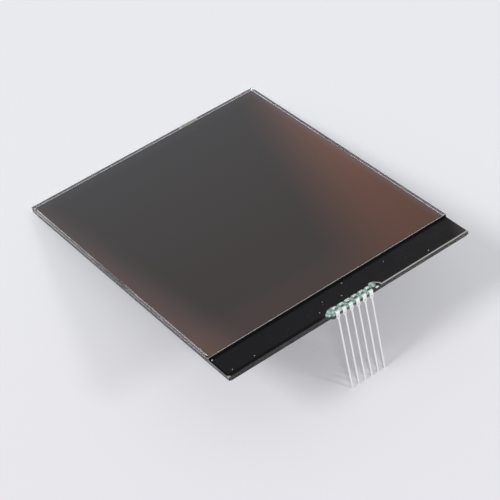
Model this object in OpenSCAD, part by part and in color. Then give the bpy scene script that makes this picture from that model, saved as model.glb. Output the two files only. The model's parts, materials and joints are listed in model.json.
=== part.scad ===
// Display glass of a vehicle instrument cluster.
// Two glass plates hold a liquid crystal cell, each with a polarizer on its outer face.
// The lower plate stands forward as a ledge, where a driver chip sits under a black coat
// and six clip-on pins grip the edge in a bead of resin.
// Each piece is drawn with the glass flat, and rest() then lays the whole display down as
// it lies on a table: on the rear edge of its back polarizer and on the tips of the pins.

/* [Glass] */
// Width of both glass plates, along the ledge
glass_w = 91; // [60:0.1:140]
// Length of the lower plate, from the ledge edge to the rear edge
lower_l = 114.9; // [90:0.1:160]
// Depth of the ledge in front of the upper plate
ledge_d = 10.4; // [8.5:0.1:16]
// Thickness of each glass plate
glass_t = 1.1; // [0.7:0.05:1.5]
// Width of the ground seam along each plate's edges
seam = 0.1; // [0.04:0.01:0.2]

/* [Polarizers] */
// Thickness of each polarizer film with its adhesive
film_t = 0.2; // [0.1:0.01:0.3]
// Clear glass left round the rear film
rear_inset = 0.5; // [0.2:0.05:0.7]
// Clear glass left in front of the front film
front_margin = 0.25; // [0.15:0.05:2]
// Clear glass left behind the front film
back_margin = 1.75; // [0.15:0.05:3]
// Clear glass left on the left of the front film
left_margin = 0.7; // [0.15:0.05:2]
// Clear glass left on the right of the front film
right_margin = 1.3; // [0.15:0.05:2]
// Corner radius of the films
film_r = 0.4; // [0.1:0.05:2]

/* [Cell] */
// Height of the cell gap, drawn thicker than the real few thousandths of a millimetre
cell_gap = 0.03; // [0.01:0.005:0.08]
// Width of the seal line that runs round the cell
seal_w = 1.2; // [0.6:0.1:2]
// Distance from the seal line to the edge of the upper plate
seal_inset = 0.5; // [0.2:0.1:1.5]
// Radius of the seal line's outer corners
seal_r = 2.5; // [2.2:0.1:5]
// Width of the fill port in the rear run of the seal
port_w = 6; // [3:0.5:12]
// Place of the fill port, from the middle of the rear edge
port_x = 18; // [-20:1:20]
// Width of the seal lips that lead from the port to the edge
lip_w = 0.8; // [0.4:0.1:1.5]
// How far the plug stands out of the rear edge
plug_out = 0.45; // [0.2:0.05:0.6]
// Height of the plug's bead on the rear edge
plug_h = 1.7; // [1.3:0.05:1.8]
// How far the plug reaches into the port
plug_in = 1.1; // [0.6:0.1:1.6]
// Diameter of the conductive dots that join the two plates' electrodes
dot_d = 1; // [0.6:0.1:1.6]
// Clearance between a dot and the seal line
dot_clear = 0.8; // [0.4:0.1:2]

/* [Driver chip and coat] */
// Length of the driver chip along the ledge
chip_w = 14; // [8:0.5:24]
// Depth of the driver chip
chip_d = 1.3; // [0.8:0.1:1.8]
// Thickness of the driver chip
chip_t = 0.3; // [0.15:0.01:0.33]
// Distance from the upper plate to the chip
chip_back = 2; // [1:0.1:3]
// Thickness of the bonding film under the chip
bond_t = 0.02; // [0.01:0.005:0.03]
// How far the bonding film shows round the chip
bond_rim = 0.3; // [0.1:0.05:0.6]
// Thickness of the black coat on the ledge
coat_t = 0.45; // [0.4:0.01:0.7]
// Clear glass left between the coat and the front seam
coat_front = 0.25; // [0.05:0.05:1]
// Clear glass left between the coat and the side seams
coat_side = 0.05; // [0.02:0.01:1]
// Corner radius of the coat
coat_r = 1.2; // [0.6:0.1:3]
// Width of the slope round the top of the coat
coat_slope = 0.15; // [0.05:0.01:0.3]

/* [Pins] */
// Distance from pin to pin
pitch = 2.54; // [2.4:0.01:3]
// Place of the pin row, from the middle of the ledge
row_x = 0.65; // [-10:0.05:10]
// Thickness of the strip that the pins are stamped from
pin_t = 0.25; // [0.15:0.01:0.3]
// Width of a pin's lead
lead_w = 0.5; // [0.4:0.05:0.8]
// Distance from the underside of the glass to the tips of the pins
lead_drop = 30.3; // [15:0.1:40]
// Sideways drift of a pin's tip from the middle of its shoulder
lead_lean = 0.5; // [-1:0.05:1]
// Width of a pin's shoulder, in front of the glass edge
shoulder_w = 1.35; // [1.2:0.05:1.8]
// Distance from the underside of the glass to the shoulder's lower corners
shoulder_drop = 0.95; // [0.95:0.05:2]
// Length of the neck that narrows from shoulder to lead
neck_l = 0.35; // [0.2:0.05:1]
// Clearance between the shoulder and the glass edge
clip_gap = 0.1; // [0.06:0.01:0.15]
// Width of the finger that lies on top of the ledge
finger_w = 1.8; // [1.4:0.05:2.1]
// Distance from the glass edge to where the finger presses on the glass
contact_y = 0.85; // [0.7:0.05:1.1]
// Length of the finger's straight end, which flares up
flare_l = 0.45; // [0.3:0.05:0.7]
// Slope of the finger's flared end
flare_a = 30; // [20:1:50]
// Width of the tongue that is cut out of the shoulder and presses from below
tongue_w = 0.6; // [0.4:0.05:0.8]

/* [Resin] */
// Distance from the last pin on the left to the end of the resin bead
bead_left = 4.7; // [3:0.1:7]
// Distance from the last pin on the right to the end of the resin bead
bead_right = 4; // [2.5:0.1:7]
// Reach of the bead over the ledge, from the glass edge
bead_rear = 2.7; // [2.2:0.05:3]
// How far the bead stands out in front of the glass edge
bead_front = 0.3; // [0.2:0.01:0.34]
// Height of the bead above the ledge
bead_top = 0.72; // [0.6:0.01:0.9]
// Depth of the bead below the glass
bead_under = 0.7; // [0.6:0.01:0.9]

/* [Hidden] */
pin_n = 6;
PIN_NODES = [for (i = [1 : pin_n]) str("terminal_pin_", i)];
$fn = 48;

// Heights of the stack above the underside of the lower plate
upper_z = glass_t + cell_gap;
stack_z = upper_z + glass_t;
upper_l = lower_l - ledge_d;

// Seal line, drawn inside the upper plate's outline
seal_outer_w = glass_w - 2 * seal_inset;
seal_outer_l = upper_l - 2 * seal_inset;

// The plug's bead is part of a cylinder that bulges out of the rear edge
plug_r = (plug_h * plug_h / 4 + plug_out * plug_out) / (2 * plug_out);
plug_y = lower_l + plug_out - plug_r;
plug_z = stack_z / 2;

// Middle of the pin strip's thickness, and the bends of the clip
strip_y = -clip_gap - pin_t / 2;
bend_inside = 0.18;
bend_r = bend_inside + pin_t / 2;
bend_steps = 5;
finger_lift = 0.1;
finger_z = glass_t + finger_lift + pin_t / 2;
shoulder_top = finger_z - bend_r;
valley_inside = 0.4;
valley_r = valley_inside + pin_t / 2;
valley_dip = 8;
tongue_z = -0.12;
tongue_a = 40;
window_h = 0.75;
window_gap = 0.08;
first_pin_x = row_x - pitch * (pin_n - 1) / 2;
last_pin_x = row_x + pitch * (pin_n - 1) / 2;

// The bead is one rounded section, drawn in toward the middle of the glass edge at its ends
bead_z = (glass_t + bead_top - bead_under) / 2;
bead_half = (glass_t + bead_top + bead_under) / 2;
bead_crest = 0.9;
bead_round = 3;
bead_from = first_pin_x - bead_left;
bead_to = last_pin_x + bead_right;
bead_sides = 28;
bead_steps = 8;

// Tilt and place at which the display rests on the rear film edge and the pin tips
rest_rear_y = lower_l - rear_inset;
rest_tip_y = -clip_gap;
tilt = atan2(lead_drop - film_t, rest_rear_y - rest_tip_y);
rest_z = film_t * cos(tilt) + rest_rear_y * sin(tilt);
front_reach = (-clip_gap - pin_t) * cos(tilt) - lead_drop * sin(tilt);
glass_reach = lower_l * cos(tilt) + (stack_z - seam) * sin(tilt);
plug_reach = plug_y * cos(tilt) + plug_z * sin(tilt) + plug_r;
rest_y = -(front_reach + max(glass_reach, plug_reach)) / 2;

module rest() {
    translate([0, rest_y, rest_z]) rotate([-tilt, 0, 0]) children();
}

// Points of an arc, given its middle, radius and two angles
function arc(mid, r, from, to) = [
    for (i = [0 : bend_steps])
        let (a = from + (to - from) * i / bend_steps)
        mid + r * [cos(a), sin(a)]
];

function unit(v) = v / norm(v);

// Direction of a path at one of its points
function heading(path, i) =
    unit(path[min(i + 1, len(path) - 1)] - path[max(i - 1, 0)]);

// One side of a strip that follows a path: the path moved sideways at each point
function strip_side(path, d) = [
    for (i = [0 : len(path) - 1])
        let (h = heading(path, i))
        path[i] + d * [-h[1], h[0]]
];

function reversed(list) = [for (i = [len(list) - 1 : -1 : 0]) list[i]];

// A bent strip of sheet metal: its path in the Y-Z plane, its width along X
module strip(path, w) {
    rotate([90, 0, 90]) linear_extrude(w, center = true)
        polygon(concat(strip_side(path, pin_t / 2), reversed(strip_side(path, -pin_t / 2))));
}

// Section across a plate whose top and bottom edges are bevelled
function plate_section(s, t, top, bottom) = [
    [bottom - s / 2, 0],
    [s / 2 - bottom, 0],
    if (bottom > 0) [s / 2, bottom],
    [s / 2, t - top],
    [s / 2 - top, t],
    [top - s / 2, t],
    [-s / 2, t - top],
    if (bottom > 0) [-s / 2, bottom]
];

// A plate with bevelled edges, centred on X, from Y = 0 to its length
module plate(w, l, t, top, bottom) {
    intersection() {
        translate([0, l, 0]) rotate([90, 0, 0]) linear_extrude(l)
            polygon(plate_section(w, t, top, bottom));
        translate([0, l / 2, 0]) rotate([90, 0, 90]) linear_extrude(w, center = true)
            polygon(plate_section(l, t, top, bottom));
    }
}

// A rectangle with round corners, centred on X, from Y = 0 to its length
module round_rect(w, l, r) {
    translate([-w / 2, r]) square([w, l - 2 * r]);
    translate([r - w / 2, 0]) square([w - 2 * r, l]);
    for (x = [r - w / 2, w / 2 - r], y = [r, l - r]) translate([x, y]) circle(r);
}

module lower_plate() {
    plate(glass_w, lower_l, glass_t, seam, seam);
}

module lower_glass() {
    color("#9fb0a6", 0.5) rest() lower_plate();
}

module upper_glass() {
    color("#a9b8b0", 0.5) rest()
        translate([0, ledge_d, upper_z]) plate(glass_w, upper_l, glass_t, seam, seam);
}

// A polarizer film from its front left corner
module film(x, y, z, w, l) {
    translate([x + w / 2, y, z]) linear_extrude(film_t) round_rect(w, l, film_r);
}

module front_polarizer() {
    w = glass_w - left_margin - right_margin;
    l = upper_l - front_margin - back_margin;
    color("#4a4645") rest()
        film(left_margin - glass_w / 2, ledge_d + front_margin, stack_z, w, l);
}

module rear_polarizer() {
    w = glass_w - 2 * rear_inset;
    color("#3a3a3c") rest()
        film(-w / 2, ledge_d + rear_inset, -film_t, w, upper_l - 2 * rear_inset);
}

// The area inside the seal line, with the port that leads to the rear edge
module cell_area(port_l) {
    translate([0, ledge_d + seal_inset + seal_w])
        round_rect(seal_outer_w - 2 * seal_w, seal_outer_l - 2 * seal_w, seal_r - seal_w);
    translate([port_x - port_w / 2, lower_l - seal_inset - seal_w - seal_r])
        square([port_w, port_l + seal_r]);
}

// A ring of adhesive with a port in its rear run and two lips that lead to the edge
module perimeter_seal() {
    color("#8c8f86") rest() translate([0, 0, glass_t]) linear_extrude(cell_gap)
        difference() {
            union() {
                translate([0, ledge_d + seal_inset])
                    round_rect(seal_outer_w, seal_outer_l, seal_r);
                translate([port_x - port_w / 2 - lip_w, lower_l - seal_inset - seal_w])
                    square([port_w + 2 * lip_w, seal_inset + seal_w]);
            }
            cell_area(seal_inset + seal_w + seal_r);
        }
}

// A dot near each front corner of the cell, clear of the seal line
module transfer_dot(side) {
    inset = seal_inset + seal_w + dot_clear + dot_d / 2;
    color("#c9ccce") rest()
        translate([side * (glass_w / 2 - inset), ledge_d + inset, glass_t])
            cylinder(d = dot_d, h = cell_gap);
}

module transfer_dot_left() {
    transfer_dot(-1);
}

module transfer_dot_right() {
    transfer_dot(1);
}

module liquid_crystal() {
    difference() {
        color("#6d6a66") rest() translate([0, 0, glass_t]) linear_extrude(cell_gap)
            cell_area(seal_inset + seal_w - plug_in);
        transfer_dot_left();
        transfer_dot_right();
    }
}

// Cured resin that closes the port: a bead on the rear edge and a tongue in the gap
module fill_port_plug() {
    color("#c8cdb8") rest() {
        intersection() {
            translate([port_x, plug_y, plug_z]) rotate([0, 90, 0])
                cylinder(r = plug_r, h = port_w + 2 * lip_w, center = true);
            translate([port_x - port_w, lower_l, 0]) cube([2 * port_w, plug_r, stack_z]);
        }
        translate([port_x - port_w / 2, lower_l - plug_in, glass_t])
            cube([port_w, plug_in, cell_gap]);
    }
}

module chip_block(rim, z, t) {
    translate([row_x - chip_w / 2 - rim, ledge_d - chip_back - chip_d - rim, z])
        cube([chip_w + 2 * rim, chip_d + 2 * rim, t]);
}

module driver_chip() {
    color("#2b2d33") rest() chip_block(0, glass_t + bond_t, chip_t);
}

module chip_bond_film() {
    color("#b9a77c") rest() chip_block(bond_rim, glass_t, bond_t);
}

// The black coat that keeps light off the ledge and seals the chip in
module ledge_coat() {
    w = glass_w - 2 * (seam + coat_side);
    front = seam + coat_front;
    l = ledge_d - front;
    color("#1c1c1e") rest() difference() {
        intersection() {
            translate([0, front, glass_t])
                plate(w, l + coat_r, coat_t, coat_slope, 0);
            translate([0, front, glass_t]) linear_extrude(coat_t)
                round_rect(w, l + coat_r, coat_r);
            translate([-glass_w, 0, 0]) cube([2 * glass_w, ledge_d, stack_z]);
        }
        chip_block(bond_rim, glass_t, bond_t);
        chip_block(0, glass_t, bond_t + chip_t);
        bead_form();
    }
}

// Path of the clip's top finger, from the bend over the glass edge to its flared end
function bend_path() = arc([strip_y + bend_r, shoulder_top], bend_r, 180, 90);
function flare_start() = [contact_y, glass_t + pin_t / 2 + valley_r]
    + valley_r * [sin(flare_a), -cos(flare_a)];
function finger_path() = concat(
    [[strip_y + bend_r, finger_z]],
    arc([contact_y, glass_t + pin_t / 2 + valley_r], valley_r, 270 - valley_dip, 270 + flare_a),
    [flare_start() + flare_l * [cos(flare_a), sin(flare_a)]]);

// Path of the tongue, which bends back under the glass until its end touches it
function tongue_bend_end() = [strip_y + bend_r, tongue_z] + bend_r * [sin(tongue_a), -cos(tongue_a)];
function tongue_rise() = -pin_t / 2 * cos(tongue_a) - tongue_bend_end()[1];
function tongue_path() = concat(
    arc([strip_y + bend_r, tongue_z], bend_r, 180, 270 + tongue_a),
    [tongue_bend_end() + tongue_rise() * [1 / tan(tongue_a), 1]]);

// Flat front of a clip: shoulder, neck and lead, with the window that the tongue left
module clip_front() {
    difference() {
        polygon([
            [-shoulder_w / 2, shoulder_top],
            [-shoulder_w / 2, -shoulder_drop],
            [-lead_w / 2, -shoulder_drop - neck_l],
            [lead_lean - lead_w / 2, -lead_drop],
            [lead_lean + lead_w / 2, -lead_drop],
            [lead_w / 2, -shoulder_drop - neck_l],
            [shoulder_w / 2, -shoulder_drop],
            [shoulder_w / 2, shoulder_top]
        ]);
        translate([-tongue_w / 2 - window_gap, tongue_z - window_h])
            square([tongue_w + 2 * window_gap, window_h]);
    }
}

// A pin stamped and bent from tinned strip, gripping the glass edge from both sides
module pin_form(i) {
    translate([first_pin_x + pitch * (i - 1), 0, 0]) {
        translate([0, -clip_gap, 0]) rotate([90, 0, 0]) linear_extrude(pin_t) clip_front();
        strip(bend_path(), shoulder_w);
        strip(finger_path(), finger_w);
        strip(tongue_path(), tongue_w);
    }
}

module terminal_pin(i) {
    color("#d9dbd8") rest() pin_form(i);
}

// Section of the bead, drawn in toward the middle of the glass edge by the factor k
function bead_section(k) = [
    for (j = [0 : bead_sides - 1])
        let (c = cos(360 * j / bead_sides), s = sin(360 * j / bead_sides))
        let (reach = c > 0 ? bead_rear - bead_crest : bead_front + bead_crest)
        [k * (bead_crest + reach * c), bead_z + k * bead_half * s]
];

// A station in a rounded end of the bead: its place along X and its factor
function bead_station(i, end, side) =
    let (a = 90 * i / bead_steps)
    [end + side * bead_round * (1 - cos(a)), sin(a)];

// The whole bead, with nothing cut out, as one skin over the stations
module bead_form() {
    left = [for (i = [1 : bead_steps]) bead_station(i, bead_from, 1)];
    right = [for (i = [bead_steps : -1 : 1]) bead_station(i, bead_to, -1)];
    rings = concat(left, right);
    n = bead_sides;
    last = len(rings) * n + 1;
    points = concat(
        [[bead_from, 0, bead_z]],
        [for (ring = rings) each [for (p = bead_section(ring[1])) [ring[0], p[0], p[1]]]],
        [[bead_to, 0, bead_z]]);
    sides = [for (i = [0 : len(rings) - 2], j = [0 : n - 1])
        let (a = 1 + i * n + j, b = 1 + i * n + (j + 1) % n)
        each [[a, b + n, b], [a, a + n, b + n]]];
    caps = [for (j = [0 : n - 1]) let (k = (j + 1) % n)
        each [[0, 1 + j, 1 + k], [last, last - n + k, last - n + j]]];
    polyhedron(points, concat(sides, caps), convexity = 4);
}

// Cured resin over the fingers, round the glass edge and under it
module pin_resin() {
    color("#8fb5a8", 0.8) rest() difference() {
        bead_form();
        lower_plate();
        for (i = [1 : pin_n]) pin_form(i);
    }
}

lower_glass();
upper_glass();
front_polarizer();
rear_polarizer();
perimeter_seal();
liquid_crystal();
fill_port_plug();
transfer_dot_left();
transfer_dot_right();
driver_chip();
chip_bond_film();
ledge_coat();
pin_resin();
for (i = [1 : pin_n]) terminal_pin(i);
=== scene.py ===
"""Dresses the display glass of a vehicle instrument cluster and lights it in a plain studio.

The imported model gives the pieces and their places. Lengths in the code are millimetres on
the display as it lies flat: X runs along the ledge, Y from the ledge's front edge to the
rear, and Z up from the underside of the lower plate. lay() turns them into the frame.
"""

import json
import math

import bmesh
import bpy
import numpy as np
from mathutils import Matrix, Vector


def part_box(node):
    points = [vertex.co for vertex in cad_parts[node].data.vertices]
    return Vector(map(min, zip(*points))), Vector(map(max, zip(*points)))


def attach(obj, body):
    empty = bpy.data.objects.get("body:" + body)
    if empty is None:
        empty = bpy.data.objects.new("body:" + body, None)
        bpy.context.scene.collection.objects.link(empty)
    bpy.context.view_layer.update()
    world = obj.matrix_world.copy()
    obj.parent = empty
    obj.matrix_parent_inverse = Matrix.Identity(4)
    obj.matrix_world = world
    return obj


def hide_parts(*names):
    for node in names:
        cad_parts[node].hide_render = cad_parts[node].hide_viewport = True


bl_info = {
    "name": "Instrument Cluster Display Glass",
    "version": (1, 0, 0),
    "blender": (4, 5, 0),
    "location": "View3D > Sidebar > Display Glass",
    "description": "Finishes, coat, resin, pins and studio for a bare display glass",
    "category": "Object",
}

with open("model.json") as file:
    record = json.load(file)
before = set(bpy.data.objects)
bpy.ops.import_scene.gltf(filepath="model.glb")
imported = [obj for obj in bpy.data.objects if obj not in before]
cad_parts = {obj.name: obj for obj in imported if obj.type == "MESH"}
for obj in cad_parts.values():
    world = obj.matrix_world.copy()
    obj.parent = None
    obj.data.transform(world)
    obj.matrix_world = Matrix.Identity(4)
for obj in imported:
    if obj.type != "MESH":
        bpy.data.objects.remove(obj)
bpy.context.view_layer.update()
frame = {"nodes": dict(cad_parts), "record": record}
NODES = frame["nodes"]
BODY = "root"

MM = 0.001

# The display's sizes in millimetres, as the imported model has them
GLASS_T = 1.1
FILM_T = 0.2
STACK_Z = 2.23
SEAM = 0.1
HALF_W = 45.5
LEDGE_D = 10.4
PLATE_L = 114.9
COAT_TOP = 1.55
PORT_X = 18.0
PIN_COUNT = 6
PITCH = 2.54
ROW_X = 0.65
PIN_X = ROW_X + PITCH * (np.arange(PIN_COUNT) - (PIN_COUNT - 1) / 2)

# The resin bead's ends along X, the stretch where it is full, and its lobe's middle
BEAD_ENDS = (-9.75, 7.95)
BEAD_FULL = (-6.7, 7.2)
LOBE = (8.85, 1.6)

# How far a cast piece sinks into what carries it, and the slit left between other faces
SINK = 0.003
SLIT = 0.004


def linear(hex_colour):
    """Linear colour of a written one: a channel near black is divided by 12.92, and any
    other is raised to the power 2.4 after an offset of 0.055 and a division by 1.055."""
    written = np.array([int(hex_colour[i:i + 2], 16) for i in (1, 3, 5)]) / 255
    curve = ((written + 0.055) / 1.055) ** 2.4
    return tuple(np.where(written <= 0.04045, written / 12.92, curve))


# How the display lies: its tilt from the face that the record gives, and the place of the
# flat drawing's origin from the corners of the lower plate's box.
FACE_NORMAL = [m for m in frame["record"]["mounts"] if m["name"] == "view_face"][0]["axis"]
TILT = math.atan2(FACE_NORMAL[1], FACE_NORMAL[2])
LOWER_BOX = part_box("lower_glass")
ORIGIN = np.array([
    0.0,
    LOWER_BOX[0][1] / MM - SEAM * math.sin(TILT),
    LOWER_BOX[1][2] / MM - GLASS_T * math.cos(TILT) + SEAM * math.sin(TILT),
])
TURN = np.array([
    [1.0, 0.0, 0.0],
    [0.0, math.cos(TILT), math.sin(TILT)],
    [0.0, -math.sin(TILT), math.cos(TILT)],
])


def lay(points):
    """Frame place of points on the flat display: a turn by the tilt about X, a move to the
    origin, and millimetres to metres."""
    return (points @ TURN.T + ORIGIN) * MM


def smooth(low, high, values):
    """Smooth step: t is the share of the way from low to high, and the result is
    t squared times (3 - 2 t)."""
    t = np.clip((values - low) / (high - low), 0.0, 1.0)
    return t * t * (3 - 2 * t)


def bell(values, centre, width):
    """Bell curve of height 1: e to the minus half the square of the distance in widths."""
    return np.exp(-0.5 * ((values - centre) / width) ** 2)


def shoulder(distance, radius):
    """Rounded edge of a cast layer: the height of a quarter circle, from 0 at its rim to 1
    at one radius from it."""
    return np.sqrt(1 - (1 - np.clip(distance / radius, 0.0, 1.0)) ** 2)


def ripple(points, scale, seed):
    """Slow seeded unevenness between -1 and 1: the mean of five sine waves, each with a
    random direction, phase and length near the scale."""
    draw = np.random.default_rng(seed)
    waves = draw.normal(0, 1, (5, points.shape[-1]))
    waves *= 2 * math.pi / scale / np.linalg.norm(waves, axis=1, keepdims=True)
    waves *= draw.uniform(0.6, 1.6, (5, 1))
    return np.sin(points @ waves.T + draw.uniform(0, 2 * math.pi, 5)).mean(axis=-1)


def place(name, mesh):
    """Puts a mesh on the display as a piece."""
    piece = bpy.data.objects.new(name, mesh)
    bpy.context.scene.collection.objects.link(piece)
    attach(piece, BODY)
    return piece


def new_piece(name, points, slot, faces=None, **shares):
    """Puts flat points in millimetres into a piece with smooth shading. Its faces are those
    of a tube through the rows of points, unless others are given. Each share is a value
    between 0 and 1 for every point, which a material can read."""
    mesh = bpy.data.meshes.new(name)
    faces = faces or tube(*points.shape[:2])
    mesh.from_pydata(lay(points.reshape(-1, 3)).tolist(), [], faces)
    mesh.polygons.foreach_set("use_smooth", np.ones(len(mesh.polygons), dtype=bool))
    for share, values in shares.items():
        layer = mesh.attributes.new(share, "FLOAT", "POINT")
        layer.data.foreach_set("value", np.clip(values, 0.0, 1.0).ravel())
    mesh.update()
    return place(name, mesh)


def tube(rings, count):
    """Faces of a tube of closed rings with a cap at each end: point j of ring i joins
    j + 1, and both join the same two points of ring i + 1."""
    i, j = np.meshgrid(np.arange(rings - 1), np.arange(count), indexing="ij")
    k = (j + 1) % count
    sides = np.stack([i * count + j, i * count + k, (i + 1) * count + k, (i + 1) * count + j],
                     axis=-1).reshape(-1, 4).tolist()
    first = np.arange(count)[::-1].tolist()
    last = np.arange((rings - 1) * count, rings * count).tolist()
    return sides + [first, last]


def add(tree, kind, settings=None, **inputs):
    """Adds one node. settings are its own properties; inputs are named as its sockets with
    _ for a space, or by number as _0, and take a value or the socket that feeds them. A
    colour gets full alpha."""
    made = tree.nodes.new(kind)
    for name, value in (settings or {}).items():
        setattr(made, name, value)
    for name, value in inputs.items():
        socket = made.inputs[int(name[1:]) if name[0] == "_" else name.replace("_", " ")]
        if isinstance(value, bpy.types.NodeSocket):
            tree.links.new(value, socket)
        elif socket.type == "RGBA":
            socket.default_value = (*value[:3], 1.0)
        else:
            socket.default_value = value
    return made


def begin(name):
    """A new material and its node tree, which is emptied."""
    material = bpy.data.materials.new(name)
    material.use_nodes = True
    material.node_tree.nodes.clear()
    return material, material.node_tree


def surfaced(material, shader):
    """Ends a material with the shader of its surface."""
    add(material.node_tree, "ShaderNodeOutputMaterial", Surface=shader.outputs[0])
    return material


def flat_place(tree):
    """The place on the flat display in millimetres: Object coordinates, less the origin,
    turned back by the tilt."""
    where = add(tree, "ShaderNodeTexCoord")
    back = -(ORIGIN @ TURN)
    return add(tree, "ShaderNodeMapping", Vector=where.outputs["Object"],
               Location=tuple(back), Rotation=(TILT, 0, 0), Scale=(1 / MM,) * 3).outputs[0]


def soft_edge(tree, spot, heading, low, high):
    """A soft edge across the display: 0 at low and 1 at high, in millimetres along a
    heading."""
    along = add(tree, "ShaderNodeVectorMath", {"operation": "DOT_PRODUCT"}, _0=spot, _1=heading)
    return add(tree, "ShaderNodeMapRange", {"interpolation_type": "SMOOTHSTEP"},
               Value=along.outputs["Value"], From_Min=low, From_Max=high).outputs[0]


def soft_patch(tree, spot, *edges):
    """A patch with soft sides: the product of its soft edges, each of which is given as a
    heading, low and high."""
    share = 1.0
    for edge in edges:
        share = add(tree, "ShaderNodeMath", {"operation": "MULTIPLY"}, _0=share,
                    _1=soft_edge(tree, spot, *edge)).outputs[0]
    return share


def layered(tree, base, *layers):
    """Lays colours over a base, one after another. Each layer is the share of it that
    covers, its colour and, where it doesn't just cover, how it blends."""
    for share, colour, *blend in layers:
        settings = {"data_type": "RGBA", "blend_type": blend[0] if blend else "MIX"}
        base = add(tree, "ShaderNodeMix", settings, _0=share, _6=base, _7=colour).outputs[2]
    return base


def lets_lamps_through(tree, surface, share):
    """Lets a share of the lamps' light straight through a surface, so that what lies under
    it is lit. The camera still sees the surface."""
    passed = add(tree, "ShaderNodeBsdfTransparent", Color=(share, share, share))
    path = add(tree, "ShaderNodeLightPath")
    return add(tree, "ShaderNodeMixShader", Fac=path.outputs["Is Shadow Ray"],
               _1=surface.outputs[0], _2=passed.outputs[0])


def give(material, *nodes):
    """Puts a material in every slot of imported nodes."""
    for node in nodes:
        for slot in NODES[node].material_slots:
            slot.material = material


def cured(name, dark, pale, grain, roughness, metallic=0.0):
    """A cured, printed or ground finish whose tone drifts between two colours, with a
    noise of the given grain per millimetre that also roughens it a little."""
    material, tree = begin(name)
    noise = add(tree, "ShaderNodeTexNoise", Vector=flat_place(tree), Scale=grain, Detail=3.0)
    tone = layered(tree, linear(dark), (noise.outputs[0], linear(pale)))
    bump = add(tree, "ShaderNodeBump", Height=noise.outputs[0], Strength=0.2, Distance=0.05 * MM)
    finish = add(tree, "ShaderNodeBsdfPrincipled", Base_Color=tone, Roughness=roughness,
                 Metallic=metallic, Normal=bump.outputs[0])
    return surfaced(material, finish)


def from_pin(x):
    """Distance along X from the middle of the nearest pin, positive to its right."""
    apart = x[:, None] - PIN_X
    nearest = np.abs(apart).argmin(axis=1)[:, None]
    return np.take_along_axis(apart, nearest, axis=1)[:, 0]


def over_finger(x):
    """1 over the fingers of the pins and 0 between them, with a soft step at 0.95 mm."""
    return 1 - smooth(0.8, 1.1, np.abs(from_pin(x)))


def bead_fill(x):
    """How full the resin bead is along the ledge: 1 in the middle, and the height of a
    quarter circle toward each tip."""
    left = np.clip((BEAD_FULL[0] - x) / (BEAD_FULL[0] - BEAD_ENDS[0]), 0.0, 1.0)
    right = np.clip((x - BEAD_FULL[1]) / (BEAD_ENDS[1] - BEAD_FULL[1]), 0.0, 1.0)
    return np.maximum(np.sqrt(1 - np.maximum(left, right) ** 2), 0.02)


def bead_reach(x):
    """How far the resin reaches over the ledge: 1.8 mm, more over the fingers and in the
    lobe on the left, and drawn in toward the tips."""
    full = 1.8 + 0.3 * over_finger(x) + 0.55 * bell(x, -7.4, 0.8)
    return 0.12 + (full - 0.12) * bead_fill(x)


def swatch(name, description, written):
    """A colour that a user can change, with its default as it is written."""
    return bpy.props.FloatVectorProperty(name=name, description=description, subtype="COLOR",
                                         default=linear(written), min=0, max=1)


def measure(name, description, default, **kind):
    """A number that a user can change. Its unit, subtype and range come last."""
    return bpy.props.FloatProperty(name=name, description=description, default=default, **kind)


class StudioSettings(bpy.types.PropertyGroup):
    floor_back: swatch("Floor behind", "Colour of the floor behind the display", "#ebecf0")
    floor_front: swatch("Floor in front", "Colour of the floor in front of the display", "#e9e8ed")
    target: bpy.props.FloatVectorProperty(
        name="Target", description="Point on the floor that the camera looks at",
        subtype="TRANSLATION", unit="LENGTH", default=(0.002288, 0.002813, 0.0))
    distance: measure("Distance", "From the camera to its target", 0.58723, unit="LENGTH")
    azimuth: measure("Azimuth", "Heading of the view, from +Y toward +X",
                     math.radians(35.851), subtype="ANGLE")
    elevation: measure("Elevation", "How far the view looks down",
                       math.radians(50.929), subtype="ANGLE")
    roll: measure("Roll", "Turn of the camera about its view",
                  math.radians(-1.079), subtype="ANGLE")
    lens: measure("Lens", "Focal length on a 36 mm sensor", 129.75)
    room: measure("Room", "Brightness of the room around the display", 0.35)
    lamp_distance: measure("Lamp distance", "From the display to each lamp", 9.0, unit="LENGTH")
    lamp_power: measure("Lamp power", "Brightness of all the lamps together",
                        1.07, subtype="FACTOR", min=0, max=4)


class GlassLook(bpy.types.PropertyGroup):
    tint: swatch("Glass tint", "Colour that the plate glass takes with depth", "#f6f6f7")
    seam_colour: swatch("Ground seam", "Colour of the ground seams along the plate edges",
                        "#6c6d6f")
    # The bright, front and dark seam colours are painted light and painted shade on the seams
    seam_painted_light: swatch("Bright seam", "Colour of the seams that face the lamps", "#d4d4d6")
    seam_rear: swatch("Cell seam", "Colour of the left seams at the cell, behind the ledge",
                      "#77777a")
    seam_front_shade: swatch("Front seam", "Colour of the seams along the ledge's front edge", "#3c3d3e")
    seam_low_shade: swatch("Dark seam", "Colour of the seams painted dark as shade", "#1c1c1d")


class FilmLook(bpy.types.PropertyGroup):
    # The film's front and rear tones and all the casts below are painted reflection and off-axis
    # tint
    front_tone: swatch("Front tone", "Colour of the front film near the ledge", "#3d3837")
    rear_tone: swatch("Rear tone", "Colour of the front film toward the rear", "#464547")
    warm_front: swatch("Warm cast, front", "Added on the right side near the ledge", "#4a2002")
    warm_rear: swatch("Warm cast, rear", "Added on the right side toward the rear", "#744733")
    warm_left: swatch("Warm cast, left", "Added along the left edge", "#483431")
    pale_right: swatch("Pale cast, right", "Added in a narrow strip at the right edge", "#28384c")
    warm_strip: swatch("Warm cast, strip", "Added beside the ledge, left of the middle", "#1e0a06")
    pale_last: swatch("Pale cast, last", "Added in the last strip at the rear", "#1c1c1c")
    corner_loss: swatch("Corner loss", "Taken away at the left front corner", "#001020")
    back_dark: swatch("Back, dark", "Darker colour of the film underneath", "#111112")
    back_pale: swatch("Back, pale", "Paler colour of the film underneath", "#1a1a1b")


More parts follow.
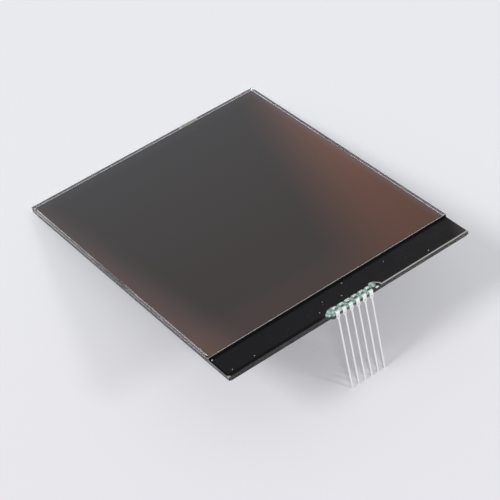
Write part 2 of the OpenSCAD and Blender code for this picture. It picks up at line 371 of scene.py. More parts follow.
class CellLook(bpy.types.PropertyGroup):
    seal_dark: swatch("Seal, dark", "Darker colour of the printed seal", "#d2cbcd")
    seal_pale: swatch("Seal, pale", "Paler colour of the printed seal", "#dcd6d8")
    # The seal's line on the right is painted light
    seal_painted_light: swatch("Seal line", "Colour of the seal's line on the right", "#fffafc")


class CoatLook(bpy.types.PropertyGroup):
    dark: swatch("Coat", "Colour of the coat on the ledge", "#1d1d1f")
    pale: swatch("Coat, right", "Colour of the coat toward the right front corner", "#2a2a2b")
    # The shaded coat and the coat at the step are painted shade, and the clear rim is painted light
    shaded: swatch("Shaded coat", "Colour of the coat's shoulders on the left", "#101011")
    thin: swatch("Thin coat", "Colour of the coat where it runs out thin", "#4a4341")
    clear: swatch("Clear rim", "Colour of the coat's rim where it is clear", "#a8a4a1")
    foot: swatch("Coat at the step", "Colour of the coat in the corner of the step", "#030303")
    side_margin: measure("Side margin", "Bare glass left on each side of the coat",
                         0.00015, unit="LENGTH")


class PinLook(bpy.types.PropertyGroup):
    dull: swatch("Dull tin", "Colour of the plating where it is duller", "#efeeeb")
    bright: swatch("Bright tin", "Colour of the plating where it is brighter", "#ffffff")


class ResinLook(bpy.types.PropertyGroup):
    deep: swatch("Deep tone", "Colour of the resin where it is clear and deep", "#638a7f")
    milky: swatch("Milky tone", "Colour of the resin where it is cloudy", "#bcd7cd")
    # The pale tone carries painted highlights: over the flared ends, in glints, in the clips'
    # windows and on the droplet
    pale: swatch("Pale tone", "Colour of the resin over the bright flared ends", "#f2fdf8")
    shade: swatch("Shaded tone", "Colour of the resin in its hollows and underneath", "#232c2b")


class DISPLAYGLASS_OT_studio(bpy.types.Operator):
    """Makes the pale floor, the room, three soft lamps and the camera"""
    bl_idname = "display_glass.studio"
    bl_label = "Studio"

    def execute(self, context):
        s = context.scene.display_glass_studio
        self.floor(s)
        self.room(context.scene, s)
        # Heading from +Y toward +X, height, width as an angle, and brightness of each lamp
        self.lamp("left_softbox", s, 283, 44, 9, 13.9)
        self.lamp("front_softbox", s, 211, 48, 8, 18.6)
        self.lamp("right_softbox", s, 146, 35, 5, 22.4)
        self.camera(context.scene, s)
        context.scene.view_settings.view_transform = "Standard"
        return {"FINISHED"}

    def floor(self, s):
        """A wide level sheet at height 0, matt paper with a faint tooth of about 1 mm, whose
        tone falls off a little from behind the display to in front of it."""
        reach, steps = 6.0, 8
        across = np.linspace(-reach, reach, steps + 1)
        x, y = np.meshgrid(across, across, indexing="ij")
        points = np.stack([x, y, np.zeros_like(x)], axis=-1).reshape(-1, 3)
        i, j = np.meshgrid(np.arange(steps), np.arange(steps), indexing="ij")
        first = i * (steps + 1) + j
        beyond = first + steps + 1
        faces = np.stack([first, beyond, beyond + 1, first + 1], axis=-1).reshape(-1, 4)
        mesh = bpy.data.meshes.new("floor")
        mesh.from_pydata(points.tolist(), [], faces.tolist())
        floor = bpy.data.objects.new("floor", mesh)
        bpy.context.scene.collection.objects.link(floor)
        material, tree = begin("matt_background_paper")
        where = add(tree, "ShaderNodeTexCoord").outputs["Object"]
        depth = soft_edge(tree, where, (math.sin(s.azimuth), math.cos(s.azimuth), 0.0),
                          -0.10, 0.06)
        tone = layered(tree, s.floor_front, (depth, s.floor_back))
        tooth = add(tree, "ShaderNodeTexNoise", Vector=where, Scale=900.0, Detail=2.0)
        bump = add(tree, "ShaderNodeBump", Height=tooth.outputs[0], Strength=0.02, Distance=0.5 * MM)
        paper = add(tree, "ShaderNodeBsdfPrincipled", Base_Color=tone, Roughness=0.9,
                    Specular_IOR_Level=0.0, Normal=bump.outputs[0])
        mesh.materials.append(surfaced(material, paper))

    def room(self, scene, s):
        """An even pale room, which the camera sees as the floor's own colour."""
        world = bpy.data.worlds.new("room")
        scene.world = world
        world.use_nodes = True
        tree = world.node_tree
        tree.nodes.clear()
        path = add(tree, "ShaderNodeLightPath")
        light = add(tree, "ShaderNodeBackground", Color=(0.98, 0.99, 1.0), Strength=s.room)
        seen = add(tree, "ShaderNodeBackground", Color=s.floor_back, Strength=1.0)
        both = add(tree, "ShaderNodeMixShader", Fac=path.outputs["Is Camera Ray"],
                   _1=light.outputs[0], _2=seen.outputs[0])
        add(tree, "ShaderNodeOutputWorld", Surface=both.outputs[0])

    def lamp(self, name, s, azimuth, height, half_width, brightness):
        """A round softbox that faces the display: its radius is the distance times the
        tangent of its half width, and its power is brightness times pi times its area."""
        a = math.radians(azimuth)
        e = math.radians(height)
        away = Vector((math.sin(a) * math.cos(e), math.cos(a) * math.cos(e), math.sin(e)))
        radius = s.lamp_distance * math.tan(math.radians(half_width))
        data = bpy.data.lights.new(name, "AREA")
        data.shape = "DISK"
        data.size = 2 * radius
        data.energy = s.lamp_power * brightness * math.pi * math.pi * radius * radius
        lamp = bpy.data.objects.new(name, data)
        bpy.context.scene.collection.objects.link(lamp)
        lamp.location = away * s.lamp_distance
        lamp.rotation_euler = away.to_track_quat("Z", "Y").to_euler()

    def camera(self, scene, s):
        """The camera stands back from its target along the view, then turns by its roll."""
        a, e = s.azimuth, s.elevation
        ahead = Vector((math.sin(a) * math.cos(e), math.cos(a) * math.cos(e), -math.sin(e)))
        data = bpy.data.cameras.new("camera")
        data.lens = s.lens
        data.sensor_width = 36
        data.clip_start = 0.01
        data.clip_end = 50
        camera = bpy.data.objects.new("camera", data)
        scene.collection.objects.link(camera)
        turn = ahead.to_track_quat("-Z", "Y").to_matrix().to_4x4()
        stand = Matrix.Translation(Vector(s.target) - ahead * s.distance)
        camera.matrix_world = stand @ turn @ Matrix.Rotation(s.roll, 4, "Z")
        scene.camera = camera


class DISPLAYGLASS_OT_plates(bpy.types.Operator):
    """Finishes the two glass plates as cut display glass with ground seams"""
    bl_idname = "display_glass.plates"
    bl_label = "Glass plates"

    def execute(self, context):
        give(self.finish(context.scene.display_glass_plates), "lower_glass", "upper_glass")
        return {"FINISHED"}

    def finish(self, s):
        """Soda-lime float glass, cut and with its edges ground off: clear faces that show
        the films and the floor through them, and fine frosted seams that catch the light.
        A face is a seam where it looks along none of the flat display's three axes. The
        seams' grit of about 0.03 mm would not show, and is drawn 0.17 mm coarse."""
        material, tree = begin("soda_lime_float_glass_cut")
        spot = flat_place(tree)
        normal = add(tree, "ShaderNodeNewGeometry").outputs["True Normal"]
        turned = add(tree, "ShaderNodeMapping", {"vector_type": "NORMAL"}, Vector=normal,
                     Rotation=(TILT, 0, 0)).outputs[0]
        size = add(tree, "ShaderNodeVectorMath", {"operation": "ABSOLUTE"}, _0=turned)
        parts = add(tree, "ShaderNodeSeparateXYZ", Vector=size.outputs[0])
        wide = add(tree, "ShaderNodeMath", {"operation": "MAXIMUM"},
                   _0=parts.outputs[0], _1=parts.outputs[1])
        widest = add(tree, "ShaderNodeMath", {"operation": "MAXIMUM"},
                     _0=wide.outputs[0], _1=parts.outputs[2])
        slant = add(tree, "ShaderNodeMapRange", Value=widest.outputs[0],
                    From_Min=0.95, From_Max=0.8)
        clear = add(tree, "ShaderNodeBsdfPrincipled", Base_Color=s.tint,
                    Roughness=0.0, IOR=1.52, Transmission_Weight=1.0)
        grit = add(tree, "ShaderNodeTexNoise", Vector=spot, Scale=6.0, Detail=3.0)
        bump = add(tree, "ShaderNodeBump", Height=grit.outputs[0], Strength=0.3, Distance=0.02 * MM)
        ground = add(tree, "ShaderNodeBsdfPrincipled", Base_Color=self.seams(tree, spot, s),
                     Roughness=0.5, IOR=1.52, Transmission_Weight=0.6,
                     Normal=bump.outputs[0])
        glass = add(tree, "ShaderNodeMixShader", Fac=slant.outputs[0],
                    _1=clear.outputs[0], _2=ground.outputs[0])
        return surfaced(material, lets_lamps_through(tree, glass, 0.9))

    def seams(self, tree, spot, s):
        """Tone of the ground seams, with painted light and shade. The upper plate's front seam
        is painted bright as a highlight. The left seams at the cell are painted bright along
        the ledge and are greyer behind it. The lower plate's front seams are painted dark as
        shade, the low one darkest, and its low left seam is painted bright as a highlight."""
        step = soft_patch(tree, spot, ((0, 0, 1), 1.9, 2.1),
                          ((0, -1, 0), -LEDGE_D - 0.9, -LEDGE_D - 0.3))
        cell = soft_patch(tree, spot, ((-1, 0, 0), HALF_W - 0.3, HALF_W - 0.15),
                          ((0, 0, 1), 0.8, 1), ((0, 0.02, -1), -1, -0.85))
        behind = soft_edge(tree, spot, (0, 1, 0), LEDGE_D, LEDGE_D + 0.2)
        cell_tone = layered(tree, s.seam_painted_light, (behind, s.seam_rear))
        front = soft_edge(tree, spot, (0, -1, 0), -0.3, -0.12)
        front_low_shade = soft_edge(tree, spot, (0, -1, -1), -0.6, -0.25)
        left_low_light = soft_edge(tree, spot, (-1, 0, -1), HALF_W - 0.6, HALF_W - 0.3)
        # Painted highlights and painted shade laid over the seams' own tone
        return layered(tree, s.seam_colour, (step, s.seam_painted_light), (cell, cell_tone),
                       (front, s.seam_front_shade), (front_low_shade, s.seam_low_shade),
                       (left_low_light, s.seam_painted_light))


class DISPLAYGLASS_OT_films(bpy.types.Operator):
    """Finishes the front and rear polarizer films"""
    bl_idname = "display_glass.films"
    bl_label = "Polarizer films"

    def execute(self, context):
        s = context.scene.display_glass_films
        give(self.front(s), "front_polarizer")
        film = new_piece("back_film", self.sheet(), "back_film")
        film.data.set_sharp_from_angle(angle=math.radians(40))
        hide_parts("rear_polarizer")
        film.data.materials.append(self.rear(s))
        return {"FINISHED"}

    def sheet(self):
        """The back film as a flat sheet with round corners: each corner point lies at the
        corner's middle plus the radius times (cos a, sin a), and the sheet's front edge
        comes out flush with the glass."""
        radius, front, rear, side = 0.4, 0.02, PLATE_L - 0.5, HALF_W - 0.5
        a = np.linspace(0, 2 * math.pi, 33)[:-1] + math.pi / 32
        x = np.sign(np.cos(a)) * (side - radius) + radius * np.cos(a)
        y = np.where(np.sin(a) > 0, rear - radius, front + radius) + radius * np.sin(a)
        z = np.array([SLIT - FILM_T, -SLIT])[:, None] + 0 * x
        return np.stack([np.tile(x, (2, 1)), np.tile(y, (2, 1)), z], axis=-1)

    def front(self, s):
        """Dyed acetate film, laminated: smooth and dark, brown near the ledge and greyer
        toward the rear. Casts of colour with soft edges lie on it: a warm one beyond a
        slanted edge on the right, others along the left and beside the ledge, and pale
        ones at the right edge and in the last strip at the rear. The left front corner
        has less blue. The drift from brown to grey and the casts are painted reflection
        and off-axis tint, laid into the film's colour."""
        material, tree = begin("dyed_acetate_polarizer_laminated_painted_reflection")
        spot = flat_place(tree)
        rear = soft_edge(tree, spot, (0, 1, 0), 26, 125)
        along = soft_edge(tree, spot, (0, 1, 0), 0, 120)
        warm = layered(tree, s.warm_front, (along, s.warm_rear))
        right = soft_edge(tree, spot, (1, -0.345, 0), -4.5, 27.7)
        left = soft_edge(tree, spot, (-1, -0.08, 0), 28.5, 44.5)
        edge = soft_edge(tree, spot, (1, 0, 0), 41, 45.8)
        strip = soft_patch(tree, spot, ((0, -1, 0), -28, -14), ((-1, 0, 0), -20, -4))
        corner = soft_edge(tree, spot, (-1, -1, 0), 22, 33)
        last = soft_edge(tree, spot, (0, 1, 0), 107, 113)
        # Painted reflection and off-axis tint, laid over the film's colour
        colour = layered(tree, s.front_tone, (rear, s.rear_tone), (right, warm, "ADD"),
                         (left, s.warm_left, "ADD"), (edge, s.pale_right, "ADD"),
                         (strip, s.warm_strip, "ADD"), (corner, s.corner_loss, "SUBTRACT"),
                         (last, s.pale_last, "ADD"))
        film = add(tree, "ShaderNodeBsdfPrincipled", Base_Color=colour, Roughness=0.12, IOR=1.49)
        return surfaced(material, lets_lamps_through(tree, film, 0.8))

    def rear(self, s):
        """Dyed acetate film on the underside, darker, with a satin back."""
        material, tree = begin("dyed_acetate_polarizer_back")
        grain = add(tree, "ShaderNodeTexNoise", Vector=flat_place(tree), Scale=2.0)
        tone = layered(tree, s.back_dark, (grain.outputs[0], s.back_pale))
        film = add(tree, "ShaderNodeBsdfPrincipled", Base_Color=tone, Roughness=0.4, IOR=1.49)
        return surfaced(material, film)


class DISPLAYGLASS_OT_cell(bpy.types.Operator):
    """Finishes what lies between the plates, and the chip and bonding film on the ledge"""
    bl_idname = "display_glass.cell"
    bl_label = "Cell and chip"

    def execute(self, context):
        give(self.seal(context.scene.display_glass_cell), "perimeter_seal")
        # Clear liquid, painted dark as the shade between the two films
        give(cured("liquid_crystal_layer", "#3a3937", "#454340", 0.5, 0.3), "liquid_crystal")
        # Dispensed silver paste: bright flakes in a dull binder
        give(cured("silver_paste_dispensed", "#b9bcbe", "#d6d9da", 8.0, 0.35, 1.0),
             "transfer_dot_left", "transfer_dot_right")
        # Ground silicon with a mirror-like blue-black back, on a tan bonding film
        give(cured("silicon_chip_ground", "#26282e", "#34373f", 4.0, 0.3), "driver_chip")
        give(cured("anisotropic_bond_film", "#a99566", "#c2ae82", 9.0, 0.5), "chip_bond_film")
        return {"FINISHED"}

    def seal(self, s):
        """Screen-printed epoxy: pale and dull, and clouded at about 1.7 mm. The line on the
        right is painted whiter: painted light that lifts it out of the film's shadow."""
        material, tree = begin("epoxy_seal_screen_printed")
        spot = flat_place(tree)
        grain = add(tree, "ShaderNodeTexNoise", Vector=spot, Scale=0.6, Detail=3.0)
        right = soft_edge(tree, spot, (1, 0, 0), 43, 44)
        tone = layered(tree, s.seal_dark, (grain.outputs[0], s.seal_pale), (right, s.seal_painted_light))
        epoxy = add(tree, "ShaderNodeBsdfPrincipled", Base_Color=tone, Roughness=0.6)
        return surfaced(material, epoxy)


class DISPLAYGLASS_OT_port_plug(bpy.types.Operator):
    """Makes the drop of cured resin that closes the fill port on the rear edge"""
    bl_idname = "display_glass.port_plug"
    bl_label = "Port plug"

    def execute(self, context):
        piece = new_piece("port_plug", self.drop(), "end_seal")
        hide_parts("fill_port_plug")
        # Cured acrylic: glossy, a little cloudy and nearly colourless against the glass
        piece.data.materials.append(
            cured("acrylic_resin_cured_clear", "#8e8d86", "#a8a79f", 1.5, 0.12))
        return {"FINISHED"}

    def drop(self):
        """A drop with its flat back on the plates' ends: along X its fill k is
        (1 - u squared) to the power 0.4, its height goes as k to the 0.5 times the sine
        and its bulge as k times the cosine of an angle from -90 to 90 degrees. A tongue
        0.02 mm thick reaches 1.1 mm into the port between the plates."""
        half, bulge, tongue = 3.8, 0.45, 1.09
        u = np.sin(np.linspace(-math.pi / 2, math.pi / 2, 60))[:, None]
        a = np.linspace(-math.pi / 2, math.pi / 2, 24)[None, :]
        fill = np.maximum(1 - u ** 2, 0.0004) ** 0.4
        sag = 0.12 * ripple(np.stack([half * u + 0 * a, a + 0 * u], axis=-1), 3.0, 5)
        y = PLATE_L + bulge * fill * np.cos(a) * (0.88 + sag)
        z = STACK_Z / 2 + 0.84 * np.sqrt(fill) * np.sin(a)
        back = np.full_like(fill, PLATE_L - SINK)
        inner = back - tongue * smooth(2.95, 2.85, np.abs(half * u))
        low, high = GLASS_T + SLIT + 0 * back, GLASS_T + 0.026 + 0 * back
        y = np.concatenate([y, back, back, inner, inner, back, back], axis=1)
        z = np.concatenate([z, z[:, -1:], high, high, low, low, z[:, :1]], axis=1)
        x = np.repeat(PORT_X + half * u, y.shape[1], axis=1)
        return np.stack([x, y, z], axis=-1)


class DISPLAYGLASS_OT_ledge_coat(bpy.types.Operator):
    """Makes the black coat that covers the ledge and the chip, and the dust on it, partly painted
    highlight at the upper plate's corners
    """
    bl_idname = "display_glass.ledge_coat"
    bl_label = "Ledge coat"

    def execute(self, context):
        s = context.scene.display_glass_coat
        points, thin, clear = self.layer(s)
        piece = new_piece("black_coat", points, "black_coat", thin=thin, clear=clear)
        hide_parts("ledge_coat")
        piece.data.materials.append(self.finish(s))
        points, faces = self.grains()
        dust = new_piece("coat_dust_and_glints", points, "black_coat", faces)
        dust.data.materials.append(cured("lint_dust_and_glints", "#8f8d8c", "#c4c3c2", 9.0, 0.7))
        return {"FINISHED"}

    def layer(self, s):
        """A cast layer over closed sections set along X. Its front rim is a slow ripple
        near the glass edge, drawn back round the resin and in at the corners. Its height is
        that of a quarter circle from each rim, and it climbs the upper plate's front in a
        steep curve. It is marked thin where it is less than about 0.26 mm high, and clear
        out to about y = 0.3 past x = 11 and outside a rounder line at its corners, where
        its finish paints it pale as painted light."""
        low, high = s.side_margin / MM - HALF_W, HALF_W - s.side_margin / MM
        near = 1.2 * (1 - np.cos(np.linspace(0, math.pi / 2, 16)))
        x = np.unique(np.concatenate([low + near, np.linspace(low, high, 380), high - near]))
        left, right = x - low, high - x
        margin = 0.1 + 0.04 * (x < 7.8) + 0.03 * ripple(x[:, None], 9.0, 3)
        corner = np.clip(1 - np.minimum(left, right) / 1.2, 0.0, 1.0)
        cut = 0.9 * (1 - np.sqrt(1 - corner ** 2))[:, None]
        rim = margin + 0.3 * (1 - np.sqrt(1 - corner ** 2))
        rim = np.maximum(rim, np.minimum(2.0, bead_reach(x) - 0.35))[:, None]
        way = 0.5 + 0.5 * np.cos(np.linspace(0, math.pi, 44))[None, :]
        y = rim + (LEDGE_D + SINK - rim) * way
        side = shoulder(left, 0.5) * shoulder(right, 0.4)
        height = shoulder(y - rim, 0.5) * side[:, None]
        wide = np.repeat(x[:, None], y.shape[1], axis=1)
        uneven = 0.012 * ripple(np.stack([wide, y], axis=-1), 5.0, 8)
        climb = 0.55 * np.exp((y - LEDGE_D) / 0.15)
        z = GLASS_T + 0.01 + (COAT_TOP - GLASS_T - 0.02 + uneven + climb) * height
        base = np.full_like(rim, GLASS_T - SINK)
        y = np.concatenate([y, y[:, -1:], y[:, :1]], axis=1)
        z = np.concatenate([z, base, base], axis=1)
        wide = np.repeat(x[:, None], y.shape[1], axis=1)
        thin = 1 - smooth(0.06, 0.26, z - GLASS_T)
        clear = smooth(11.1, 11.5, wide) * smooth(0.31, 0.25, y)
        in_corner = smooth(0.1, 0.0, y - rim - cut) * smooth(0.02, 0.1, cut)
        clear = np.maximum(clear, 0.8 * in_corner)
        return np.stack([wide, y, z], axis=-1), thin, clear

    def finish(self, s):
        """Silicone, dispensed and self-levelling: deep black and smooth, with paler clouds of
        about 4 mm toward the right front and waves of about 1.2 mm. It is painted darker as
        shade on the shoulders that turn away from the lamps, left of the resin and along the
        left side. It is brownish at the right front corner and where it runs out thin over
        the glass, painted pale as light on its clear rim, and painted black as shade in the
        corner of the step."""
        material, tree = begin("black_silicone_coat_dispensed")
        spot = flat_place(tree)
        cloud = add(tree, "ShaderNodeTexNoise", Vector=spot, Scale=0.25, Detail=4.0)
        east = soft_edge(tree, spot, (1, -1, 0), -45, 45)
        east_tone = layered(tree, s.dark, (cloud.outputs[0], s.pale))
        left_rim_shade = soft_patch(tree, spot, ((0, -1, 0), -1.5, -1.05), ((-1, 0, 0), 9.5, 12))
        side = soft_edge(tree, spot, (-1, 0, 0), HALF_W - 0.85, HALF_W - 0.6)
        corner = soft_edge(tree, spot, (1, -0.5, 0), 39, 46)
        thin = add(tree, "ShaderNodeAttribute", {"attribute_name": "thin"})
        clear = add(tree, "ShaderNodeAttribute", {"attribute_name": "clear"})
        step = soft_edge(tree, spot, (0, 1, 0), LEDGE_D - 1.5, LEDGE_D - 0.2)
        # Painted shade on the shoulders and in the step, and painted light on the clear rim
        tone = layered(tree, s.dark, (east, east_tone), (left_rim_shade, s.shaded),
                       (side, s.shaded), (corner, s.thin), (thin.outputs["Fac"], s.thin),
                       (clear.outputs["Fac"], s.clear), (step, s.foot))
        wave = add(tree, "ShaderNodeTexNoise", Vector=spot, Scale=0.8, Detail=2.0)
        bump = add(tree, "ShaderNodeBump", Height=wave.outputs[0], Strength=0.25, Distance=0.1 * MM)
        rough = add(tree, "ShaderNodeMapRange", Value=step, To_Min=0.22, To_Max=0.6)
        coat = add(tree, "ShaderNodeBsdfPrincipled", Base_Color=tone,
                   Roughness=rough.outputs[0], IOR=1.45, Specular_IOR_Level=0.12,
                   Normal=bump.outputs[0])
        return surfaced(material, coat)

    def grains(self):
        """Small flat domes: at each place, rings of points at the distance r sin a and the
        height 0.9 r cos a on the coat, or 0.3 r cos a on the plate and film, from the rim to
        near the top. Twelve are larger, at places in millimetres on the ledge, at two
        corners of the upper plate and on the film, and the 26 fine ones are seeded. The
        pale grains at the upper plate's corners are dust that also stands in for the glints
        there: painted highlights."""
        # The grains at (-44.7, 9.5), (44.9, 10.75) and (-45.1, 113.4) lie at the upper plate's
        # corners and stand in for the glints there as painted highlights
        large = np.array([(3.0, 8.9), (-0.5, 4.4), (-6.4, 6.3), (-9.9, 3.0), (-44.7, 9.5),
                          (-34.7, 2.0), (30.9, 1.5), (18.1, 7.5), (-42.7, 1.9),
                          (44.9, 10.75), (-45.1, 113.4), (-12.6, 108.0)])
        fine = 26
        draw = np.random.default_rng(12)
        small = draw.uniform((-43.0, 2.8), (43.0, 10.0), (fine, 2))
        spots = np.concatenate([large, small])
        wide = np.array([0.19, 0.19, 0.15, 0.19, 0.3, 0.16, 0.2, 0.16, 0.19, 0.33, 0.22, 0.12])
        size = np.concatenate([wide, draw.uniform(0.03, 0.06, fine)])
        a = np.linspace(math.pi / 2, 0.15, 5)[None, :, None]
        b = np.linspace(0, 2 * math.pi, 13)[None, None, :-1]
        r = size[:, None, None]
        uneven = 1 + 0.25 * np.sin(2 * b + 9 * spots[:, :1, None])
        x = spots[:, 0, None, None] + r * uneven * np.sin(a) * np.cos(b)
        y = spots[:, 1, None, None] + r * uneven * np.sin(a) * np.sin(b)
        film = (spots[:, 1] > 20) & (np.abs(spots[:, 0]) < 40)
        level = np.where(spots[:, 1] > LEDGE_D, STACK_Z + FILM_T * film, COAT_TOP) - 0.04
        height = np.where(spots[:, 1] > LEDGE_D, 0.3, 0.9)[:, None, None]
        z = level[:, None, None] + height * r * np.cos(a) + 0 * b
        points = np.stack([x, y, z], axis=-1)
        count, rings, around = points.shape[:3]
        one = tube(rings, around)
        faces = [[n * rings * around + k for k in face] for n in range(count) for face in one]
        return points, faces


class DISPLAYGLASS_OT_pins(bpy.types.Operator):
    """Makes the six clip-on pins, stamped and bent from tinned strip"""
    bl_idname = "display_glass.pins"
    bl_label = "Clip-on pins"

    def execute(self, context):
        tin = self.finish(context.scene.display_glass_pins)
        for i in range(PIN_COUNT):
            node = f"terminal_pin_{i + 1}"
            piece = place(f"clip_pin_{i + 1}", self.stamped(node))
            piece.data.materials.append(tin)
            edge = piece.modifiers.new("rounded_edge", "BEVEL")
            edge.width = 0.04 * MM
            edge.segments = 2
            edge.limit_method = "ANGLE"
            edge.angle_limit = math.radians(50)
            edge.harden_normals = True
            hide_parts(node)
        return {"FINISHED"}

    def stamped(self, node):
        """A copy of a packed pin with its doubles merged and its flat faces made whole,
        shaded smooth round the bends and sharp along the sheared edges."""
        shape = bmesh.new()
        shape.from_mesh(NODES[node].data)
        bmesh.ops.remove_doubles(shape, verts=shape.verts, dist=0.001 * MM)
        bmesh.ops.dissolve_limit(shape, angle_limit=math.radians(1), verts=shape.verts,
                                 edges=shape.edges)
        mesh = bpy.data.meshes.new(f"stamped_{node}")
        shape.to_mesh(mesh)
        shape.free()
        mesh.materials.clear()
        mesh.polygons.foreach_set("use_smooth", np.ones(len(mesh.polygons), dtype=bool))
        mesh.set_sharp_from_angle(angle=math.radians(50))
        return mesh

    def finish(self, s):
        """Phosphor bronze strip with matte tin plating: pale and silky, with clouds of about
        0.7 mm."""
        material, tree = begin("matte_tin_plated_phosphor_bronze")
        cloud = add(tree, "ShaderNodeTexNoise", Vector=flat_place(tree), Scale=1.5, Detail=3.0)
        tone = layered(tree, s.dull, (cloud.outputs[0], s.bright))
        rough = add(tree, "ShaderNodeMapRange", Value=cloud.outputs[0], To_Min=0.4, To_Max=0.55)
        tin = add(tree, "ShaderNodeBsdfPrincipled", Base_Color=tone, Metallic=0.6,
                  Roughness=rough.outputs[0])
        return surfaced(material, tin)


class DISPLAYGLASS_OT_resin(bpy.types.Operator):
    """Makes the bead of cured sea-green resin that sets the pins on the glass edge"""
    bl_idname = "display_glass.resin"
    bl_label = "Pin resin"

    def execute(self, context):
        resin = self.finish(context.scene.display_glass_resin)
        # Where the resin runs out as a thin skin it has no colour left, only a grey rim
        clear = cured("acrylic_resin_thin_rim", "#8f8a8c", "#a9a4a6", 1.0, 0.15)
        points, shade, pale = self.bead()
        bead = new_piece("resin_bead", points, "pin_resin", shade=shade, pale=pale)
        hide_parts("pin_resin")
        bead.data.materials.append(resin)
        # The lobe, the droplet on the edge, painted pale all over as a highlight, and the rim to the
        # right of the row
        lobe = self.blob((*LOBE, COAT_TOP - 0.05), (1.1, 1.3, 0.4))
        away = lobe[..., :2] - LOBE
        spread = np.hypot(away[..., 0], away[..., 1]) / 1.2
        rim = 0.6 * smooth(0.6, 1.0, spread) * smooth(-0.5, 1.0, away.sum(axis=-1))
        drop = self.blob((9.65, 0.12, GLASS_T - 0.02), (0.6, 0.3, 0.38))
        skin = self.thread()
        for name, points, pale, finish in (
                ("resin_lobe", lobe, rim, resin),
                ("resin_drop_highlight", drop, np.ones(drop.shape[:2]), resin),
                ("resin_rim", skin, np.full(skin.shape[:2], 0.4), clear)):
            piece = new_piece(name, points, "pin_resin", pale=pale)
            piece.data.materials.append(finish)
        return {"FINISHED"}

    def bead(self):
        """A skin over closed sections set along X. Each section runs from its rear foot on
        the coat up over the crest, round the front and under the glass on four quarter
        ovals, the second one squarer, then back along the glass. Its reach to the rear,
        crest, front and depth are smooth functions of X. Over each finger the top sinks
        below the bend, dips along the finger and rises again over its flared end."""
        x = np.linspace(*BEAD_ENDS, 300)
        fill, finger, rear = bead_fill(x), over_finger(x), bead_reach(x)
        apart = from_pin(x)[:, None]
        lobe = bell(x, -7.6, 0.9)
        foot = GLASS_T + 0.45 * smooth(0.5, 0.9, rear)
        top = foot + 0.02 + fill * (0.06 + 0.2 * finger + 0.26 * lobe)
        front = 0.03 + 0.2 * fill
        hang = fill * smooth(-9.8, -7.2, x)
        behind = 1 - smooth(0.42, 0.65, np.abs(apart))
        deep = 0.45 + 0.75 * bell(x, -6.6, 0.9) + 0.7 * behind[:, 0]
        under, reach = 0.04 + hang * np.minimum(deep, 1.1), 0.1 + 1.3 * hang
        a = np.linspace(0, math.pi / 2, 29)[:-1]
        c, s = np.cos(a)[None, :], np.sin(a)[None, :]
        rear, foot, top, front = (v[:, None] for v in (rear, foot, top, front))
        under, reach, finger = under[:, None], reach[:, None], finger[:, None]
        crest_y, under_y = 0.7 * rear, 0.12 * reach
        mid = GLASS_T / 2
        y = np.concatenate([
            crest_y + (rear - crest_y) * c,
            crest_y - (crest_y + front) * s ** 0.8,
            under_y - (under_y + front) * c,
            under_y + (reach - under_y) * s,
        ], axis=1)
        z = np.concatenate([
            foot + (top - foot) * s,
            mid + (top - mid) * c ** 0.6,
            mid - (mid + under) * s,
            -under * c,
        ], axis=1)
        cap = 1.41 + 0.05 * smooth(0.3, 0.5, y) + 0.4 * smooth(1.0, 1.35, y)
        z = np.where(z > GLASS_T, z - finger * np.maximum(z - cap, 0.0), z)
        wide = np.repeat(x[:, None], y.shape[1], axis=1)
        skin = np.stack([wide, y, z], axis=-1)
        shade, pale = self.tones(skin, apart, behind, rear)
        rise = GLASS_T + SLIT
        one = np.ones_like(rear)
        y = np.concatenate([y, reach, np.minimum(reach, 0.08), -SLIT * one, -SLIT * one,
                            0.08 * one, np.minimum(rear - 0.05, 1.5), rear - 0.02], axis=1)
        z = np.concatenate([z, -SLIT * one, -SLIT * one, 0.08 * one, (GLASS_T - 0.08) * one,
                            rise * one, rise * one, np.maximum(foot - 0.05, rise)], axis=1)
        hidden = ((0, 0), (0, y.shape[1] - shade.shape[1]))
        wide = np.repeat(x[:, None], y.shape[1], axis=1)
        return np.stack([wide, y, z], axis=-1), np.pad(shade, hidden), np.pad(pale, hidden)

    def tones(self, skin, apart, behind, rear):
        """How shaded and how pale the bead is at each point of its skin. It is painted as shade
        in the slot of each finger, less so on the left, and low on its front between the
        pins. It is painted pale as highlights over the flared ends, in two glints at the
        left end and low in the windows of the clips, and it is pale along its rear rim and
        in streaks on top."""
        wide, y, z = np.moveaxis(skin, -1, 0)
        upper = z > GLASS_T
        patchy = ripple(skin, 0.9, 21)
        uneven = 1.0 + 0.5 * patchy
        inner = 1 - smooth(0.45, 0.8, np.abs(apart))
        fade = 0.4 + 0.6 * smooth(-5.2, -2.2, wide)
        # Painted shade: the slot over each finger and, below, the low front between the pins
        slot = fade * inner * bell(y - 0.22 * apart, 0.8, 0.18) * uneven
        edge = np.where(wide < -6.5, 1.3 - 1.0 * smooth(-9.2, -6.2, wide), 0.75)
        soft = np.where(wide < -6.5, 0.2, 0.4)
        low = smooth(edge + soft, edge - soft, z) * (y < 0.3) * (1 - behind)
        core = 1 - smooth(0.6, 0.9, np.abs(apart - 0.1))
        # Painted highlights: over the flared ends, in two glints and in the clips' windows
        flare_highlight = core * smooth(1.15, 1.4, y - 0.2 * apart) * upper * uneven
        glint = (bell(wide, -8.6, 0.25) * bell(z, 1.2, 0.12)
                 + bell(wide, -7.05, 0.2) * bell(z, 0.62, 0.14)) * (y < 0.2)
        rim = 0.3 * smooth(0.6, 0.1, rear - y) * upper
        streak = 0.25 * smooth(0.2, 0.7, patchy) * upper
        window_light = 0.75 * behind * (z < 0.4) * (y < 0.3)
        shade = slot * upper + low * (1 - np.minimum(glint, 1.0))
        return shade, flare_highlight + glint + rim + streak + window_light

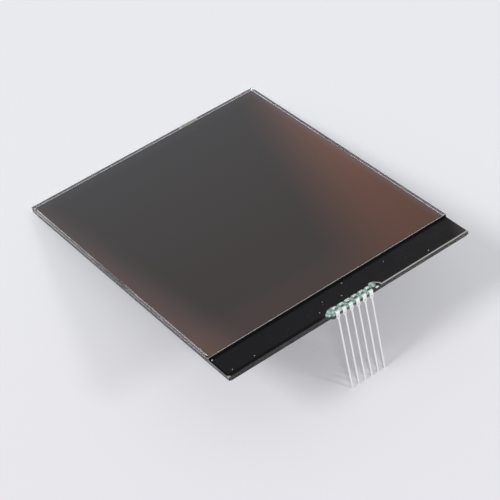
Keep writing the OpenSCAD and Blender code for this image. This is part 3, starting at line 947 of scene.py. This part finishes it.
    def blob(self, centre, radii):
        """A dome with a flat foot: rings of points at the share sin a of its radii and the
        height cos a, from the foot to near the top."""
        a = np.linspace(math.pi / 2, 0.06, 18)[:, None]
        b = np.linspace(0, 2 * math.pi, 49)[None, :-1]
        x = centre[0] + radii[0] * np.sin(a) * np.cos(b)
        y = centre[1] + radii[1] * np.sin(a) * np.sin(b)
        z = centre[2] + radii[2] * np.cos(a) + 0 * b
        return np.stack([x, y, z], axis=-1)

    def thread(self):
        """The thin skin's thick rim: an oval tube from the right lobe to the glass edge,
        along x = 9.2 + 2.15 sin t and y = 0.1 + 2.55 cos t, each to the power 1.5, with t
        from 0.1 to a quarter turn."""
        s = np.linspace(0.0, 1.0, 60)[:, None]
        b = np.linspace(0, 2 * math.pi, 17)[None, :-1]
        t = 0.1 + s * (math.pi / 2 - 0.1)
        x = 9.2 + 2.15 * np.sin(t) ** 1.5
        y = 0.1 + 2.55 * np.maximum(np.cos(t), 0.0) ** 1.5
        width = 0.04 + 0.18 * (1 - (2 * s - 1) ** 6)
        z = COAT_TOP - 0.05 + 0.15 * np.sin(b) - 0.4 * smooth(0.85, 1.0, s)
        return np.stack([x + width * np.cos(b), y + 0.5 * width * np.cos(b), z], axis=-1)

    def finish(self, s):
        """Acrylic, dyed sea green and cured: milky in clouds of about 0.8 mm and wet-looking,
        painted dark as shade in its hollows and pale as highlights where its pale share is high."""
        material, tree = begin("acrylic_resin_cured_sea_green")
        cloud = add(tree, "ShaderNodeTexNoise", Vector=flat_place(tree), Scale=1.2, Detail=4.0)
        milk = add(tree, "ShaderNodeMapRange", Value=cloud.outputs[0], From_Min=0.42, From_Max=0.6)
        pale = add(tree, "ShaderNodeAttribute", {"attribute_name": "pale"})
        shade = add(tree, "ShaderNodeAttribute", {"attribute_name": "shade"})
        tone = layered(tree, s.deep, (milk.outputs[0], s.milky),
                       (pale.outputs["Fac"], s.pale), (shade.outputs["Fac"], s.shade))
        bump = add(tree, "ShaderNodeBump", Height=cloud.outputs[0], Strength=0.3, Distance=0.2 * MM)
        resin = add(tree, "ShaderNodeBsdfPrincipled", Base_Color=tone, Roughness=0.12,
                    IOR=1.5, Transmission_Weight=0.2, Normal=bump.outputs[0])
        return surfaced(material, resin)


OPERATORS = (
    DISPLAYGLASS_OT_studio,
    DISPLAYGLASS_OT_plates,
    DISPLAYGLASS_OT_films,
    DISPLAYGLASS_OT_cell,
    DISPLAYGLASS_OT_port_plug,
    DISPLAYGLASS_OT_ledge_coat,
    DISPLAYGLASS_OT_pins,
    DISPLAYGLASS_OT_resin,
)
GROUPS = {
    "display_glass_studio": StudioSettings,
    "display_glass_plates": GlassLook,
    "display_glass_films": FilmLook,
    "display_glass_cell": CellLook,
    "display_glass_coat": CoatLook,
    "display_glass_pins": PinLook,
    "display_glass_resin": ResinLook,
}


class DISPLAYGLASS_PT_panel(bpy.types.Panel):
    """Lists the settings and the pieces of the display in the order of their making"""
    bl_idname = "DISPLAYGLASS_PT_panel"
    bl_label = "Display Glass"
    bl_space_type = "VIEW_3D"
    bl_region_type = "UI"
    bl_category = "Display Glass"

    def draw(self, context):
        for group, kind in GROUPS.items():
            settings = getattr(context.scene, group)
            column = self.layout.column()
            for name in kind.__annotations__:
                column.prop(settings, name)
        for operator in OPERATORS:
            self.layout.operator(operator.bl_idname)


def register():
    for group, kind in GROUPS.items():
        bpy.utils.register_class(kind)
        setattr(bpy.types.Scene, group, bpy.props.PointerProperty(type=kind))
    for operator in OPERATORS:
        bpy.utils.register_class(operator)
    bpy.utils.register_class(DISPLAYGLASS_PT_panel)


def unregister():
    bpy.utils.unregister_class(DISPLAYGLASS_PT_panel)
    for operator in reversed(OPERATORS):
        bpy.utils.unregister_class(operator)
    for group, kind in reversed(GROUPS.items()):
        delattr(bpy.types.Scene, group)
        bpy.utils.unregister_class(kind)


def main():
    register()
    for operator in OPERATORS:
        family, name = operator.bl_idname.split(".")
        getattr(getattr(bpy.ops, family), name)()


if __name__ == "__main__":
    main()
